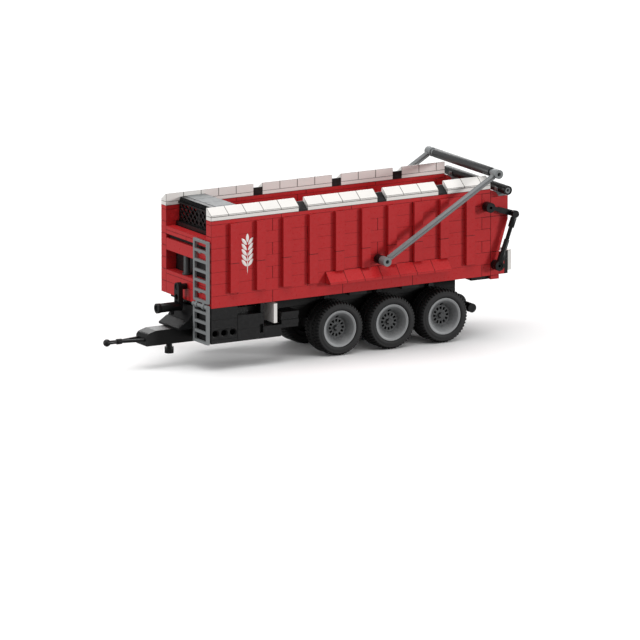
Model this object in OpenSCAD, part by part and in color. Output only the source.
// Grain trailer built from interlocking toy bricks: a push-off hopper on three axles.
// Building frame: X forward from the front wall's face, Y to the left, Z up from the
// bottom of the side walls. placed() moves it to the middle of the footprint, on the ground.

/* [Brick grid] */
// Distance between stud centres
stud = 8; // [7.9:0.05:8.1]
// Height of a plate; a brick is three plates high
plate = 3.2; // [3.1:0.05:3.3]
// Gap between neighbouring bricks of one wall
seam = 0.1; // [0.05:0.05:0.2]

/* [Hopper] */
// Length of the side walls in studs
wall_studs = 32; // [27:1:44]
// Brick courses in a side wall
courses = 7; // [6:1:9]
// Inside width of the hopper in studs
inside_studs = 8; // [8:2:12]
// Depth of the side ribs
rib_t = 3.2; // [2:0.2:4]

/* [Wheels] */
// Diameter of a tyre over the tread
tyre_d = 43.2; // [40:0.2:46]
// Width of a tyre
tyre_w = 20.8; // [16:0.2:22]
// Diameter of the rim's bead seat
rim_d = 30.4; // [26:0.2:32]
// Distance between neighbouring axles
axle_pitch = 48; // [47.5:0.5:56]

/* [Pins and fits] */
// Diameter of an axle or a connector pin
pin_d = 4.8; // [4.2:0.1:5.4]
// Radial clearance of a turning or sliding fit
run_gap = 0.05; // [0.02:0.01:0.1]
// Radial clearance of a fixed fit
fix_gap = 0.02; // [0.01:0.01:0.03]
// Side gap between pieces that move past each other
side_gap = 0.3; // [0.2:0.05:0.5]
// Diameter of a thin bar
bar_d = 3.2; // [2.8:0.1:3.6]
// Outer diameter of tubes, bushes and round connectors
tube_d = 7.4; // [6.6:0.1:7.9]

/* [Drawbar] */
// Reach of the hitch ball in front of the hopper
hitch_reach = 72; // [64:1:96]
// Diameter of the hitch ball
ball_d = 5.9; // [5:0.1:8]
// Height of the jack's foot above the ground
jack_lift = 10.2; // [6:0.2:14]

/* [Hidden] */
$fn = 48;
brick = 3 * plate;
wall_l = wall_studs * stud;
wall_h = courses * brick + plate;
in_y = inside_studs * stud / 2;
out_y = in_y + stud;
rear_x = -wall_l;
pin_r = pin_d / 2;
cross_t = 1.9;
bar_r = bar_d / 2;
tube_r = tube_d / 2;

// Wheels hang below the wall's bottom edge by this much
axle_drop = 29.6;
deck_z = axle_drop + tyre_d / 2;
axle_x = [for (k = [2 : -1 : 0]) rear_x + 5 * stud + k * axle_pitch];
rail_y = [4, 12];
rail_z = [-plate - 2 * brick, -plate];
tyre_y0 = out_y - 3.6 - tyre_w;
hub_y = out_y - 8.1;

// Circles of the twelve bolt pockets and the valve hole in a rim
bolt_ring = 5.8;
valve_ring = 9.3;

// Pivots, as [x, z]
gate_pivot = [rear_x + stud / 2, wall_h - 13.6];
elbow_off = [-22.8, -7.4];
elbow = gate_pivot + elbow_off;
ram_foot = [rear_x - stud / 2, 8.8];
ram_y = out_y + 6.2;
arm_t = 3.2;

// Blind holes in the ends of pins, tubes and round connectors
end_hole_r = 1.2;
ram_len = norm(elbow - ram_foot);
ram_tilt = atan2(ram_foot[0] - elbow[0], elbow[1] - ram_foot[1]);
bow_pivot = [rear_x + 13 * stud, 24.8];
roller = [rear_x + 1.4, wall_h + 14.7];
bow_len = norm(roller - bow_pivot);
bow_tilt = atan2(roller[1] - bow_pivot[1], bow_pivot[0] - roller[0]);
rear_tube = [rear_x - 11.4, wall_h - 0.9];

// Rear cheeks: a low block, a leaning brick above it and an upright block on top
cheek_low = 6 * plate;
cheek_high = 15 * plate;
cheek_top = wall_h - 2 * plate;
cheek_x1 = rear_x - stud;
cheek_x2 = rear_x - 2 * stud;
block_z = [0.4, cheek_low - 0.4];

// Front wall openings
low_h = 5 * plate;
sill_z = 6 * plate;
ledge_z = wall_h - 5 * plate;
band_z = ledge_z - 6 * plate;

// Caps along the top of the side walls, as [first stud, last stud] from the front
cap_runs = [[0, 10], [11, 19], [20, 26], [27, wall_studs]];
cap_gaps = [10, 19, 26];
cap_h = 2 * plate;
cap_lip = 1.2;

// Side ledge of sloping bricks over the wheels
ledge_units = 7;
ledge_rear = rear_x + 5 * stud;
ledge_front = ledge_rear + ledge_units * 2 * stud;
rib_count = floor((wall_studs - 2) / 3);
rib_foot = 3.5 * plate;
rib_head = wall_h - plate;
rib_joint = rib_foot + 3 * stud;

// Moving front bulkhead
push_x = [-35.4, -8.8];
push_y = in_y - side_gap;
push_top = wall_h + 2 * plate;
floor_top = 2 * plate;
shelf_z = [ledge_z, ledge_z + plate];
fence_top = push_top - 3.6;
fence_x = [push_x[1] - 4.6, push_x[1] - 3];
fence_rail = 1.4;
lattice = 0.8 * stud;
lattice_bar = 1.1;

// Underrun tube and its brackets
round_c = [rear_x + 2 * stud, -26];
round_r = 8.5;
under_c = [rear_x + stud + 0.5, -28];
under_len = 52;

// Skirts at the front of the chassis
skirt_l = 6 * stud;
skirt_h = 3 * brick;
skirt_layers = [0, -brick, -brick - 2 * plate, -2 * brick - 2 * plate, -skirt_h];
skirt_hole_z = (skirt_layers[2] + skirt_layers[3]) / 2;
skirt_holes = 3;
guard_x = -57;
guard_z = [-17.6, -1.6];

// Drawbar
bar_z = [-32, -20];
draw_w = 2 * stud;
draw_front = hitch_reach - 31;
hitch_z = -27.1;
twin_y = 5.2;
twin_r = 1.3;
jack_x = 15.5;
jack_r = 3.6;
jack_foot_h = 5.2;
jack_z = jack_lift - deck_z;
supply_x = [7, 27];
supply_z = -4.1;
beam_x = [5, 8.8];
beam_z = [-8.4, 15];

// Ladder
ladder_y = [16.8, 40];
ladder_x = [1.2, 3.4];
stile_w = 2.6;
rung_h = 2.2;
rung_pitch = stud;
ladder_rungs = 7;
ladder_z0 = 3.8;
lower_rungs = 4;
lower_z0 = -29.2;
ladder_pivot = [2.9, 1];
ladder_clip_y = [21.5, 32.5];
clip_w = 3;

// The whole model's reach, from the hitch ball to the lift arms' elbows
front_x = hitch_reach + ball_d / 2;
back_x = elbow[0] - 3;
frame_x = -(front_x + back_x) / 2;

// Moves the building frame to the middle of the footprint, standing on the ground
module placed() translate([frame_x, 0, deck_z]) children();

// Repeats a left-hand piece on both sides
module both_sides() {
    children();
    mirror([0, 1, 0]) children();
}

// Box between two corners, given as ranges
module box(x, y, z) translate([x[0], y[0], z[0]]) cube([x[1] - x[0], y[1] - y[0], z[1] - z[0]]);

// A brick between two x places, shortened by half a seam on its ends, foot and top
module laid(x, y, z) box([x[0] + seam / 2, x[1] - seam / 2], y, [z[0] + seam / 2, z[1] - seam / 2]);

// Profile in the XZ plane, carried along Y
module along_y(y) translate([0, y[1], 0]) rotate([90, 0, 0]) linear_extrude(y[1] - y[0]) children();

// Profile in the YZ plane, carried along X
module along_x(x) translate([x[0], 0, 0]) rotate([90, 0, 90]) linear_extrude(x[1] - x[0]) children();

// Round bar along Y through an [x, z] place
module rod_y(c, r, y) translate([c[0], y[1], c[1]]) rotate([90, 0, 0]) cylinder(r = r, h = y[1] - y[0]);

// Row of bricks: the first one `first` studs long, the others `piece` studs
module row(studs, first, piece, y, z) {
    cuts = concat([0], [for (c = first; c < studs; c = c + piece) c], [studs]);
    for (i = [0 : len(cuts) - 2]) laid([-cuts[i + 1] * stud, -cuts[i] * stud], y, z);
}

// Cross-shaped section of an axle
module cross(r, t) intersection() {
    circle(r);
    union() {
        square([2 * r + 1, t], center = true);
        square([t, 2 * r + 1], center = true);
    }
}

// ---- Hopper ----

module side_wall() color("firebrick") difference() {
    union() {
        for (c = [0 : courses - 1])
            row(wall_studs, c % 2 == 0 ? 7 : 3, 8, [in_y, out_y], [c * brick, (c + 1) * brick]);
        row(wall_studs, 8, 8, [in_y, out_y], [courses * brick, wall_h]);
    }
    rod_y(bow_pivot, pin_r + run_gap, [in_y - 1, out_y + 1]);
    rod_y(gate_pivot, pin_r + run_gap, [in_y - 1, out_y + 1]);
}

// Ribs made of two tiles each; those over the ledge start on top of it
module side_ribs() color("firebrick") both_sides() for (k = [0 : rib_count - 1]) {
    x = rear_x + (2 + 3 * k) * stud;
    foot = x > ledge_rear - stud && x < ledge_front ? cheek_low : rib_foot;
    laid([x, x + stud], [out_y, out_y + rib_t], [foot, rib_joint]);
    laid([x, x + stud], [out_y, out_y + rib_t], [rib_joint, rib_head]);
}

module side_ledges() color("firebrick") both_sides() for (k = [0 : ledge_units - 1]) {
    x = ledge_rear + 2 * k * stud;
    along_x([x + seam / 2, x + 2 * stud - seam / 2]) polygon([
        [out_y, brick], [out_y + stud, brick], [out_y + stud, brick + plate / 2],
        [out_y + 0.6, 2 * brick - seam], [out_y, 2 * brick - seam]]);
}

module cap_plates() color("whitesmoke") both_sides() for (run = cap_runs)
    laid([-run[1] * stud, -run[0] * stud], [in_y, out_y], [wall_h, wall_h + plate - seam / 2]);

// Slope one stud deep, high edge inside
module cap_profile(z) polygon([
    [in_y, z], [out_y, z], [out_y, z + cap_lip], [in_y + 0.8, z + cap_h], [in_y, z + cap_h]]);

module cap_slopes() color("whitesmoke") both_sides()
    for (run = cap_runs) for (s = [run[0] : 2 : run[1] - 0.5])
        along_x([-min(s + 2, run[1]) * stud + seam / 2, -s * stud - seam / 2]) cap_profile(wall_h + plate);

module gap_slopes() color("black") both_sides() for (s = cap_gaps)
    along_x([-(s + 1) * stud + seam, -s * stud - seam]) cap_profile(wall_h);

module rear_cheeks() color("firebrick") both_sides() difference() {
    union() {
        laid([cheek_x1, rear_x], [in_y, out_y], [0, cheek_low - brick]);
        laid([cheek_x1, rear_x], [in_y, out_y], [cheek_low - brick, cheek_low]);
        along_y([in_y, out_y]) polygon([
            [rear_x - seam / 2, cheek_low + seam / 2], [cheek_x1, cheek_low + seam / 2],
            [cheek_x2, cheek_high - plate], [cheek_x2, cheek_high - seam / 2],
            [rear_x - seam / 2, cheek_high - seam / 2]]);
        laid([cheek_x2, rear_x], [in_y, out_y], [cheek_high, cheek_top]);
        along_y([in_y, out_y]) intersection() {
            translate(gate_pivot) circle(wall_h - gate_pivot[1]);
            translate([cheek_x2, cheek_top + seam / 2]) square([2 * stud - seam / 2, cap_h]);
        }
        laid([cheek_x1, rear_x], [in_y, out_y], [-plate, 0]);
    }
    rod_y(ram_foot, pin_r + fix_gap, [in_y - 1, out_y + 1]);
}

module front_wall() color("firebrick") {
    y = [-in_y, in_y];
    for (s = [0 : inside_studs / 4 - 1]) {
        yy = [-in_y + 4 * s * stud + seam / 2, -in_y + 4 * (s + 1) * stud - seam / 2];
        laid([-stud, 0], yy, [0, brick]);
        laid([-stud, 0], yy, [ledge_z - 2 * plate, ledge_z - plate]);
    }
    laid([-stud, 0], y, [brick, low_h]);
    laid([-stud, 0], y, [low_h, sill_z]);
    laid([-stud, 0], y, [band_z, band_z + brick]);
    laid([-stud, 0], y, [ledge_z - plate, ledge_z]);
}

module front_column() color("dimgray") translate([-stud / 2, -5.8, sill_z]) {
    cylinder(r = 2.7, h = band_z - sill_z);
    cylinder(r = 3.6, h = plate / 2);
}

// Floor plates, the plates across the chassis that tie the walls, the floor and the rails
// together, and the plate set back in the slot of the front wall
module floor_plates() color("black") {
    for (s = [0 : 8 : wall_studs - 1])
        laid([-min(s + 8, wall_studs) * stud, -s * stud - (s == 0 ? stud : 0)], [-in_y, in_y], [0, plate]);
    for (x = [rear_x, rear_x + 8 * stud, rear_x + 14 * stud])
        laid([x, x + 2 * stud], [plate - out_y, out_y - plate], [-plate, -seam / 2]);
    laid([-3 * stud, -stud / 2], [-in_y + seam, in_y - seam], [-plate, -seam / 2]);
    laid([-stud, -3], [-in_y, in_y], [band_z + brick, ledge_z - 2 * plate]);
}

module floor_tiles() color("firebrick") for (s = [1 : 2 : wall_studs - 1]) for (side = [-1, 1]) {
    yy = side > 0 ? [seam / 2, in_y - seam / 2] : [-in_y + seam / 2, -seam / 2];
    laid([-min(s + 2, wall_studs) * stud, -s * stud], yy, [plate, floor_top]);
}

module rear_tube() color("black") difference() {
    rod_y(rear_tube, tube_r, [-out_y - stud, out_y + stud]);
    both_sides() rod_y(rear_tube, pin_r + fix_gap, [out_y + 2, out_y + stud + 1]);
}

// Clips under the rear tube, one on each cheek, and the rings on the tube's ends
module tube_brackets() color("silver") both_sides() {
    difference() {
        union() {
            box([cheek_x2 + 2, cheek_x2 + 10], [in_y + 0.2, out_y - 0.2], [cheek_top, cheek_top + plate]);
            rod_y(rear_tube, tube_r + 0.6, [in_y + 2, out_y - 2]);
        }
        rod_y(rear_tube, tube_r + fix_gap, [in_y - 1, out_y + 1]);
        box([cheek_x2 - 4, cheek_x1 + 8], [in_y - 1, out_y + 1], [rear_tube[1] + 1.2, wall_h + 12]);
        box([cheek_x2 - 8, rear_x], [in_y - 1, out_y + 1], [cheek_high, cheek_top]);
        rod_y(gate_pivot, wall_h - gate_pivot[1] + fix_gap, [in_y - 1, out_y + 1]);
    }
    difference() {
        rod_y(rear_tube, pin_r, [out_y + 2, out_y + stud - side_gap]);
        rod_y(rear_tube, end_hole_r, [out_y + 4, out_y + stud + 1]);
    }
}

module rear_header() color("firebrick") for (c = [0 : 4])
    laid([cheek_x1 + seam, rear_x], [-in_y, in_y], [cheek_high + c * plate, cheek_high + (c + 1) * plate]);

// ---- Chassis ----

module chassis_rails() color("black") both_sides() for (c = [0, 1]) {
    cuts = c == 0 ? [2, 10, 20, wall_studs - 2] : [0, 14, wall_studs - 2];
    for (i = [0 : len(cuts) - 2])
        laid([-cuts[i + 1] * stud, -cuts[i] * stud], rail_y,
            [rail_z[0] + c * brick, rail_z[0] + (c + 1) * brick]);
}

// Bricks with a cross hole that carry the axles
module axle_hangers() color("black") for (x = axle_x) both_sides() difference() {
    laid([x - stud, x + stud], rail_y, [rail_z[0] - 4 * plate, rail_z[0]]);
    rod_y([x, -axle_drop], pin_r + run_gap, [rail_y[0] - 1, rail_y[1] + 1]);
}

module rail_pins() color("dimgray") for (x = axle_x) both_sides() {
    rod_y([x, -8], pin_r, [rail_y[1], rail_y[1] + 2.8]);
    rod_y([x, -8], pin_r + 0.7, [rail_y[1], rail_y[1] + 0.8]);
}

// The near skirt goes on to the front wall, with pin holes; the far one stops three studs short
module skirt(to_front) color("black") {
    difference() {
        union() {
            if (to_front) for (c = [0 : 3])
                laid([-3 * stud, 0], [in_y, out_y], [skirt_layers[c + 1], skirt_layers[c]]);
            laid([-skirt_l, -3 * stud], [in_y, out_y], [-skirt_h, -2 * brick]);
            laid([-skirt_l, -3 * stud], [in_y, out_y], [-2 * brick, -8]);
            laid([-skirt_l, -skirt_l + 3], [in_y, out_y], [-8, 0]);
        }
        for (k = [0 : skirt_holes - 1]) {
            rod_y([-(k + 0.5) * stud, skirt_hole_z], pin_r + run_gap, [in_y - 1, out_y + 1]);
            rod_y([-(k + 0.5) * stud, skirt_hole_z], pin_r + 0.7, [out_y - 0.8, out_y + 1]);
        }
        box([-skirt_l + 0.8, -skirt_l + 4], [out_y - 2, out_y + 1], [-24, -17]);
    }
    laid([-skirt_l - 2 * stud, -skirt_l], [in_y - stud, out_y], [-skirt_h, -2 * brick]);
    laid([-skirt_l, to_front ? 0 : -3 * stud], [rail_y[1] + seam, in_y - seam], [-plate - brick, -plate]);
    if (to_front) laid([-3 * stud, 0], [rail_y[1] + seam, in_y - seam], [-skirt_h, -plate - brick]);
}

module equipment_boxes() color("black") both_sides() for (c = [0 : 3])
    laid([-10 * stud, -8 * stud], [in_y - stud, out_y - c % 2], [-plate * (c + 4), -plate * (c + 3)]);

module splash_guards() color("whitesmoke") both_sides()
    box([guard_x - plate, guard_x], [in_y - stud, out_y], guard_z);

module underrun_brackets() color("black") both_sides() {
    difference() {
        union() {
            along_y([rail_y[0] + 4, tyre_y0 - 2 * side_gap]) {
                translate(round_c) circle(round_r);
                translate([round_c[0], rail_z[0]]) square([2 * stud, 2 * plate - seam]);
            }
            along_y([tyre_y0 - 2 * side_gap, tyre_y0 + 3]) hull() {
                translate(round_c) circle(2.2);
                translate(under_c) circle(2.2);
            }
        }
        rod_y(under_c, tube_r + fix_gap, [rail_y[0], out_y]);
        box([round_c[0], round_c[0] + 3 * stud], [0, rail_y[1] + seam], [rail_z[0] - seam, 0]);
    }
}

module underrun_tube() color("black") rod_y(under_c, tube_r, [-under_len / 2, under_len / 2]);

// ---- Drawbar ----

module drawbar_body() color("black") difference() {
    along_y([-draw_w / 2, draw_w / 2]) hull() {
        translate([-2 * stud, bar_z[0]]) square([1, bar_z[1] - bar_z[0]]);
        translate([draw_front - 10, bar_z[0]]) square([1, bar_z[1] - bar_z[0]]);
        translate([draw_front - 4.5, bar_z[1] - 6]) circle(4.5);
        translate([draw_front - 1, bar_z[0] + 1]) circle(1, $fn = 32);
    }
    translate([jack_x, 0, bar_z[0] - 1]) cylinder(r = pin_r + run_gap, h = bar_z[1] - bar_z[0]);
}

// Wedge on the drawbar and the bricks that join it to the hopper
module drawbar_block() color("black") {
    along_y([-draw_w, draw_w]) polygon([
        [stud, bar_z[1]], [2 * stud, bar_z[1]], [2 * stud, bar_z[1] + 1.6],
        [stud + 0.8, bar_z[1] + 2 * plate], [stud, bar_z[1] + 2 * plate]]);
    along_y([-draw_w, draw_w]) polygon([
        [0, bar_z[1]], [stud - seam, bar_z[1]], [stud - seam, bar_z[1] + 2 * plate], [0, -plate]]);
    laid([-2 * stud, 0], [-rail_y[1], rail_y[1]], [bar_z[1], rail_z[1] - brick]);
}

// Two thin bars carried from the drawbar body to the coupling
module tow_bars() color("black") {
    for (y = [-twin_y, twin_y]) hull() {
        translate([draw_front, y, hitch_z]) rotate([0, 90, 0]) cylinder(r = twin_r, h = 1, $fn = 24);
        translate([hitch_reach - 12, y * 0.2, hitch_z]) sphere(twin_r, $fn = 24);
    }
    translate([hitch_reach - 13, 0, hitch_z]) rotate([0, 90, 0]) cylinder(r = 2.2, h = 4);
}

module hitch_ball() color("black") {
    translate([hitch_reach, 0, hitch_z]) sphere(ball_d / 2);
    translate([hitch_reach - 9, 0, hitch_z]) rotate([0, 90, 0]) cylinder(r = bar_r, h = 9);
}

module supply_tube() color("black") {
    translate([supply_x[0], 0, supply_z]) rotate([0, 90, 0])
        cylinder(r = tube_r, h = supply_x[1] - supply_x[0] - 3);
    translate([supply_x[1] - 3 + seam, 0, supply_z]) rotate([0, 90, 0]) difference() {
        cylinder(r = tube_r + 0.3, h = 3 - seam);
        translate([0, 0, 2]) cylinder(r = pin_r, h = 2);
    }
    translate([1.6 * stud, 0, -3.2 * plate]) cylinder(r = bar_r, h = 3.2 * plate + supply_z - 3);
}

// Upright beam with three holes, pinned to the front wall at its top; the tube passes the lowest
module supply_beam() color("black") {
    difference() {
        along_x(beam_x) hull() for (z = [beam_z[0] + tube_r, beam_z[1] - tube_r])
            translate([0, z]) circle(tube_r, $fn = 32);
        for (k = [0, 1]) translate([beam_x[0] - 1, 0, beam_z[1] - tube_r - k * stud]) rotate([0, 90, 0])
            cylinder(r = pin_r + run_gap, h = beam_x[1] - beam_x[0] + 2);
        translate([supply_x[0], 0, supply_z]) rotate([0, 90, 0]) cylinder(r = tube_r + 1, h = stud);
    }
    translate([0, 0, beam_z[1] - tube_r]) rotate([0, 90, 0]) cylinder(r = pin_r, h = beam_x[1] - 0.6);
    translate([0, -7.6, seam - plate]) cube([4, 3, 4]);
}

// ---- Wheels ----

module wheel_axle(i) color("silver") {
    translate([axle_x[i], hub_y, -axle_drop]) rotate([90, 0, 0])
        linear_extrude(2 * hub_y) cross(pin_r, cross_t);
    both_sides() difference() {
        rod_y([axle_x[i], -axle_drop], tube_r, [rail_y[1] + side_gap / 2, tyre_y0 - 0.2]);
        along_y([rail_y[0], out_y]) translate([axle_x[i], -axle_drop])
            cross(pin_r + fix_gap, cross_t + 2 * fix_gap);
    }
}

// Rim outline as [radius, distance from the wheel's outer face], turned about the axle
module rims(i) color("darkgray") both_sides()
    translate([axle_x[i], tyre_y0 + tyre_w, -axle_drop]) rotate([90, 0, 0]) difference() {
        rotate_extrude($fn = 64) polygon([
            [0.1, 6.5], [8.2, 6.5], [12.4, 1.2], [rim_d / 2 - 1.4, 0.5], [rim_d / 2 - 0.2, 0.5],
            [rim_d / 2 - 0.2, 2.2], [rim_d / 2 - 1.2, 3.2], [rim_d / 2 - 1.2, tyre_w - 2.4],
            [rim_d / 2 - 2.6, tyre_w - 2.4], [rim_d / 2 - 2.6, 10.6], [5.2, 10.6],
            [5.2, tyre_w + 0.1], [0.1, tyre_w + 0.1]]);
        translate([0, 0, -1]) linear_extrude(tyre_w + 4) cross(pin_r + fix_gap, cross_t + 2 * fix_gap);
        for (k = [0 : 11]) rotate(30 * k + 15) translate([bolt_ring, 0, 5.5]) cylinder(r = 0.85, h = 2.6);
        rotate(90) translate([valve_ring, 0, 3]) cylinder(r = 1, h = 9);
    }

module tyres(i) color("black") both_sides()
    translate([axle_x[i], tyre_y0 + tyre_w, -axle_drop]) rotate([90, 0, 0])
        rotate_extrude($fn = 96) difference() {
            hull() {
                translate([tyre_d / 2 - 2.6, 2.6]) circle(2.6, $fn = 32);
                translate([tyre_d / 2 - 2.6, tyre_w - 2.6]) circle(2.6, $fn = 32);
                translate([rim_d / 2 - 0.15, 0.4]) square([2, tyre_w - 0.8]);
            }
            translate([0, 3.2]) square([rim_d / 2 + 2.2, tyre_w - 6.4]);
            square([rim_d / 2 - 0.15, tyre_w]);
        }

// ---- Tarp bow ----

module bow_spacers() color("black") both_sides() difference() {
    rod_y(bow_pivot, tube_r, [out_y, out_y + stud - 0.2]);
    rod_y(bow_pivot, pin_r + run_gap, [out_y - 1, out_y + stud + 1]);
}

module bow_arms() color("gray") both_sides()
    translate([bow_pivot[0], out_y + 1.5 * stud, bow_pivot[1]]) rotate([0, bow_tilt - 90, 0])
        translate([0, 0, tube_r]) linear_extrude(bow_len - 2 * tube_r) rotate(45) cross(pin_r, cross_t);

module bow_connectors() color("silver") both_sides() {
    for (c = [bow_pivot, roller]) difference() {
        rod_y(c, tube_r - 0.02, [out_y + stud, out_y + 2 * stud - 0.2]);
        rod_y(c, end_hole_r + 0.4, [out_y + stud + 2, out_y + 2 * stud + 1]);
    }
    color("black") rod_y(bow_pivot, pin_r, [in_y + 0.5, out_y + stud]);
    color("black") rod_y(roller, pin_r, [out_y + stud / 2 + seam, out_y + stud]);
}

module bow_roller() color("dimgray") rod_y(roller, tube_r, [-out_y - stud / 2, out_y + stud / 2]);

// ---- Tailgate and its rams ----

module panel_outline() polygon([
    [cheek_x1 + 6, cheek_low + 0.3], [cheek_x1 - 1.5, cheek_low + 0.3], [cheek_x2 - 1.5, cheek_high - 0.6],
    [cheek_x2 + 6, cheek_high - 0.6]]);

module tailgate_panel() color("firebrick") along_y([-push_y, push_y]) panel_outline();

module tailgate_block() color("firebrick") {
    along_y([-out_y + seam, out_y - seam]) translate([cheek_x2 + plate, block_z[0]])
        square([stud - plate - side_gap, block_z[1] - block_z[0]]);
    along_y([-push_y, push_y]) translate([cheek_x2 + plate + 0.2, block_z[1]]) square([4, 0.7]);
}

// Plates that carry the marker tiles on the lower block
module marker_plates() color("black") both_sides()
    box([cheek_x2, cheek_x2 + plate], [in_y - stud, out_y - seam], [block_z[0], block_z[1]]);

// Levers from the hinge hubs back to the elbows, with the hinge pins
module lift_arms() color("black") both_sides() {
    rod_y(gate_pivot, pin_r, [in_y + 0.4, out_y + side_gap]);
    difference() {
        rod_y(gate_pivot, 4, [out_y + side_gap, out_y + stud - 0.4]);
        rod_y(gate_pivot, end_hole_r, [out_y + 4, out_y + stud + 1]);
    }
    difference() {
        along_y([out_y + side_gap, out_y + arm_t]) {
            hull() for (t = [0, 0.5]) translate(gate_pivot + t * elbow_off) circle(1.6, $fn = 32);
            hull() for (t = [0.5, 1]) translate(gate_pivot + t * elbow_off) circle(2.3, $fn = 32);
        }
        rod_y(elbow, bar_r + fix_gap, [in_y, out_y + stud]);
        rod_y(gate_pivot, 4 + fix_gap, [out_y, out_y + 5]);
    }
}

module gate_bar() color("black") {
    rod_y(elbow, bar_r, [-out_y - arm_t, out_y + arm_t]);
    for (y = [-in_y + 4, -2, in_y - 8]) difference() {
        along_y([y, y + 4]) hull() {
            translate(elbow) circle(2.4, $fn = 32);
            translate([cheek_x2 + 1, cheek_high - 3]) circle(2.4, $fn = 32);
        }
        rod_y(elbow, bar_r, [-out_y, out_y]);
        along_y([-in_y, in_y]) panel_outline();
    }
}

module marker_tiles() color("whitesmoke") both_sides()
    box([cheek_x2 - plate, cheek_x2], [in_y - stud, out_y], [plate, plate + 2 * stud]);

// Places a ram's own frame: its axis along +Z from the foot pin, at the ram's own Y
module on_ram() translate([ram_foot[0], ram_y, ram_foot[1]]) rotate([0, -ram_tilt, 0]) children();

module ram_foot_pins() color("black") both_sides() {
    difference() {
        rod_y(ram_foot, pin_r, [in_y + 0.4, out_y + 7.6]);
        rod_y(ram_foot, end_hole_r, [out_y + 4.4, out_y + stud + 1]);
    }
    difference() {
        rod_y(ram_foot, 4, [out_y, out_y + 3.2]);
        rod_y(ram_foot, pin_r + fix_gap, [out_y - 1, out_y + 4]);
    }
}

module ram_barrel() color("black") difference() {
    union() {
        rod_y(ram_foot, 4, [out_y + 3.4, out_y + 8.2]);
        on_ram() cylinder(r = bar_r + 0.55, h = 22);
        on_ram() cylinder(r = 2.8, h = 11);
    }
    rod_y(ram_foot, pin_r + run_gap, [out_y, out_y + 9]);
    on_ram() translate([0, 0, 4.6]) cylinder(r = bar_r + run_gap, h = 20);
}

module ram_rod() color("black") {
    on_ram() translate([0, 0, 5]) cylinder(r = bar_r, h = ram_len - 5);
    on_ram() translate([0, 0, ram_len - 11]) cylinder(r = 2.5, h = 8);
    rod_y(elbow, 3, [ram_y - 1.8, ram_y + 1.8]);
}

// ---- Push-off bulkhead ----

module push_wall() color("dimgray") {
    for (c = [0 : courses - 2])
        laid([push_x[0], push_x[0] + stud], [-push_y, push_y], [floor_top + side_gap + c * brick,
            min(floor_top + side_gap + (c + 1) * brick, wall_h - 2)]);
    for (y = [-push_y, push_y - 2 * stud]) laid([push_x[0] + stud, push_x[1] - stud], [y, y + 2 * stud],
        [floor_top + side_gap, floor_top + side_gap + plate]);
}

// Front bricks and shelf, two lattice fences on the shelf and the ribbed strip on top of them
module push_front() color("black") {
    for (c = [0 : courses - 3])
        laid([push_x[1] - stud, push_x[1]], [-push_y, push_y], [floor_top + side_gap + c * brick,
            min(floor_top + side_gap + (c + 1) * brick, shelf_z[0])]);
    laid([push_x[0] + stud, push_x[1]], [-push_y, push_y], shelf_z);
    both_sides() difference() {
        union() {
            along_x(fence_x) translate([seam / 2, shelf_z[1]])
                square([push_y - seam / 2, fence_top - seam - shelf_z[1]]);
            box([fence_x[0] - 1, fence_x[1] + 1], [seam / 2, push_y],
                [fence_top - fence_rail, fence_top - seam]);
        }
        along_x([fence_x[0] - 2, fence_x[1] + 2]) intersection() {
            translate([1, shelf_z[1] + 0.4]) square([push_y - 2, fence_top - fence_rail - 0.8 - shelf_z[1]]);
            for (j = [0 : 5]) for (i = [0 : 5])
                translate([(i + j % 2 / 2) * lattice, shelf_z[1] + j * lattice / 2]) rotate(45)
                    square(lattice / sqrt(2) - lattice_bar, center = true);
        }
    }
    along_y([-push_y, push_y]) polygon(concat(
        [[push_x[1] - stud, push_top - 0.2], [push_x[1] - stud, fence_top]],
        [for (k = [0 : 3]) for (d = [0, 0.6])
            [fence_x[1] - 0.3 * k - (d > 0 ? 0 : 0.5), fence_top + 0.9 * k + d]]));
}

module push_tiles() color("silver") for (k = [0 : inside_studs / 2 - 1])
    translate([push_x[0], -push_y + k * 4 * push_y / inside_studs + seam, push_top - plate])
        cube([push_x[1] - stud - seam - push_x[0], 4 * push_y / inside_studs - 2 * seam, plate]);

// ---- Jack and ladder ----

module jack_foot() color("black") translate([jack_x, 0, 0]) {
    translate([0, 0, jack_z]) cylinder(r = jack_r, h = jack_foot_h);
    translate([0, 0, jack_z + jack_foot_h]) cylinder(r = pin_r, h = bar_z[1] - 1.4 - jack_z - jack_foot_h);
}

// Ladder length: stiles and rungs from z[0] up
module ladder(z0, rungs) {
    top = z0 + (rungs - 1) * rung_pitch + rung_h;
    for (y = [ladder_y[0], ladder_y[1] - stile_w]) box(ladder_x, [y, y + stile_w], [z0, top]);
    for (k = [0 : rungs - 1])
        box(ladder_x, ladder_y, [z0 + k * rung_pitch, z0 + k * rung_pitch + rung_h]);
}

module ladder_upper() color("darkgray") {
    ladder(ladder_z0, ladder_rungs);
    for (z = [10, 42]) for (y = [ladder_y[0] + 4, ladder_y[1] - 8])
        box([0, ladder_x[0]], [y, y + 4], [z, z + 3]);
    for (y = ladder_clip_y) difference() {
        union() {
            rod_y(ladder_pivot, bar_r + 0.7, [y, y + clip_w]);
            box([ladder_pivot[0] - 1.1, ladder_pivot[0] + 1.1], [y, y + clip_w],
                [ladder_pivot[1], ladder_z0 + 0.5]);
        }
        rod_y(ladder_pivot, bar_r + run_gap, [y - 1, y + clip_w + 1]);
    }
}

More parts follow.
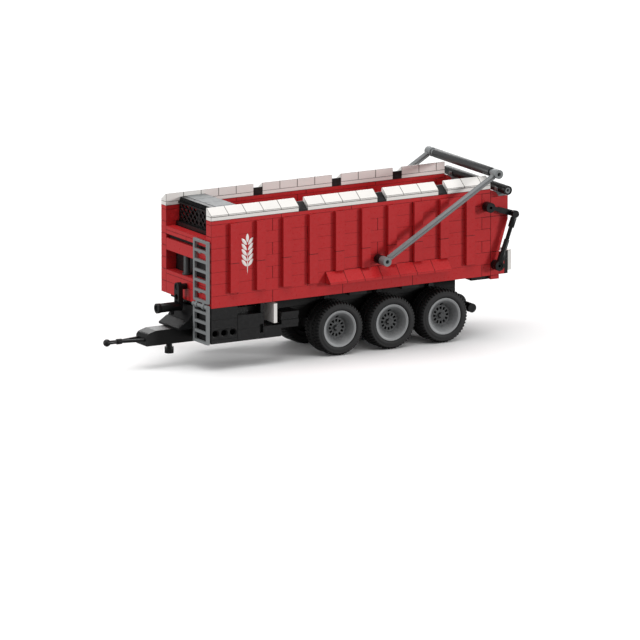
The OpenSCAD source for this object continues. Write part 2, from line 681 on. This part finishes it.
module ladder_lower() color("darkgray") {
    ladder(lower_z0, lower_rungs);
    rod_y(ladder_pivot, bar_r, [ladder_y[0] + 0.2, ladder_y[1] - 0.2]);
    for (y = [ladder_y[0], ladder_y[1] - stile_w]) {
        box(ladder_x, [y, y + stile_w], [lower_z0 + (lower_rungs - 1) * rung_pitch, ladder_pivot[1]]);
        rod_y(ladder_pivot, bar_r + 0.2, [y, y + stile_w]);
    }
}

placed() side_wall();  // side_wall_left
placed() mirror([0, 1, 0]) side_wall();  // side_wall_right
placed() side_ribs();
placed() side_ledges();
placed() cap_plates();
placed() cap_slopes();
placed() gap_slopes();
placed() rear_cheeks();
placed() front_wall();
placed() front_column();
placed() floor_plates();
placed() floor_tiles();
placed() rear_tube();
placed() tube_brackets();
placed() rear_header();
placed() chassis_rails();
placed() axle_hangers();
placed() rail_pins();
placed() skirt(true);  // skirt_left
placed() mirror([0, 1, 0]) skirt(false);  // skirt_right
placed() equipment_boxes();
placed() splash_guards();
placed() underrun_brackets();
placed() underrun_tube();
placed() drawbar_body();
placed() drawbar_block();
placed() tow_bars();
placed() hitch_ball();
placed() supply_tube();
placed() supply_beam();
placed() ladder_upper();
placed() bow_spacers();
placed() ram_foot_pins();
placed() wheel_axle(0);  // wheel_axle_front
placed() rims(0);  // rims_front
placed() tyres(0);  // tyres_front
placed() wheel_axle(1);  // wheel_axle_middle
placed() rims(1);  // rims_middle
placed() tyres(1);  // tyres_middle
placed() wheel_axle(2);  // wheel_axle_rear
placed() rims(2);  // rims_rear
placed() tyres(2);  // tyres_rear
placed() bow_arms();
placed() bow_connectors();
placed() bow_roller();
placed() tailgate_panel();
placed() tailgate_block();
placed() lift_arms();
placed() gate_bar();
placed() marker_plates();
placed() marker_tiles();
placed() ram_barrel();  // ram_barrel_left
placed() mirror([0, 1, 0]) ram_barrel();  // ram_barrel_right
placed() ram_rod();  // ram_rod_left
placed() mirror([0, 1, 0]) ram_rod();  // ram_rod_right
placed() push_wall();
placed() push_front();
placed() push_tiles();
placed() jack_foot();
placed() ladder_lower();
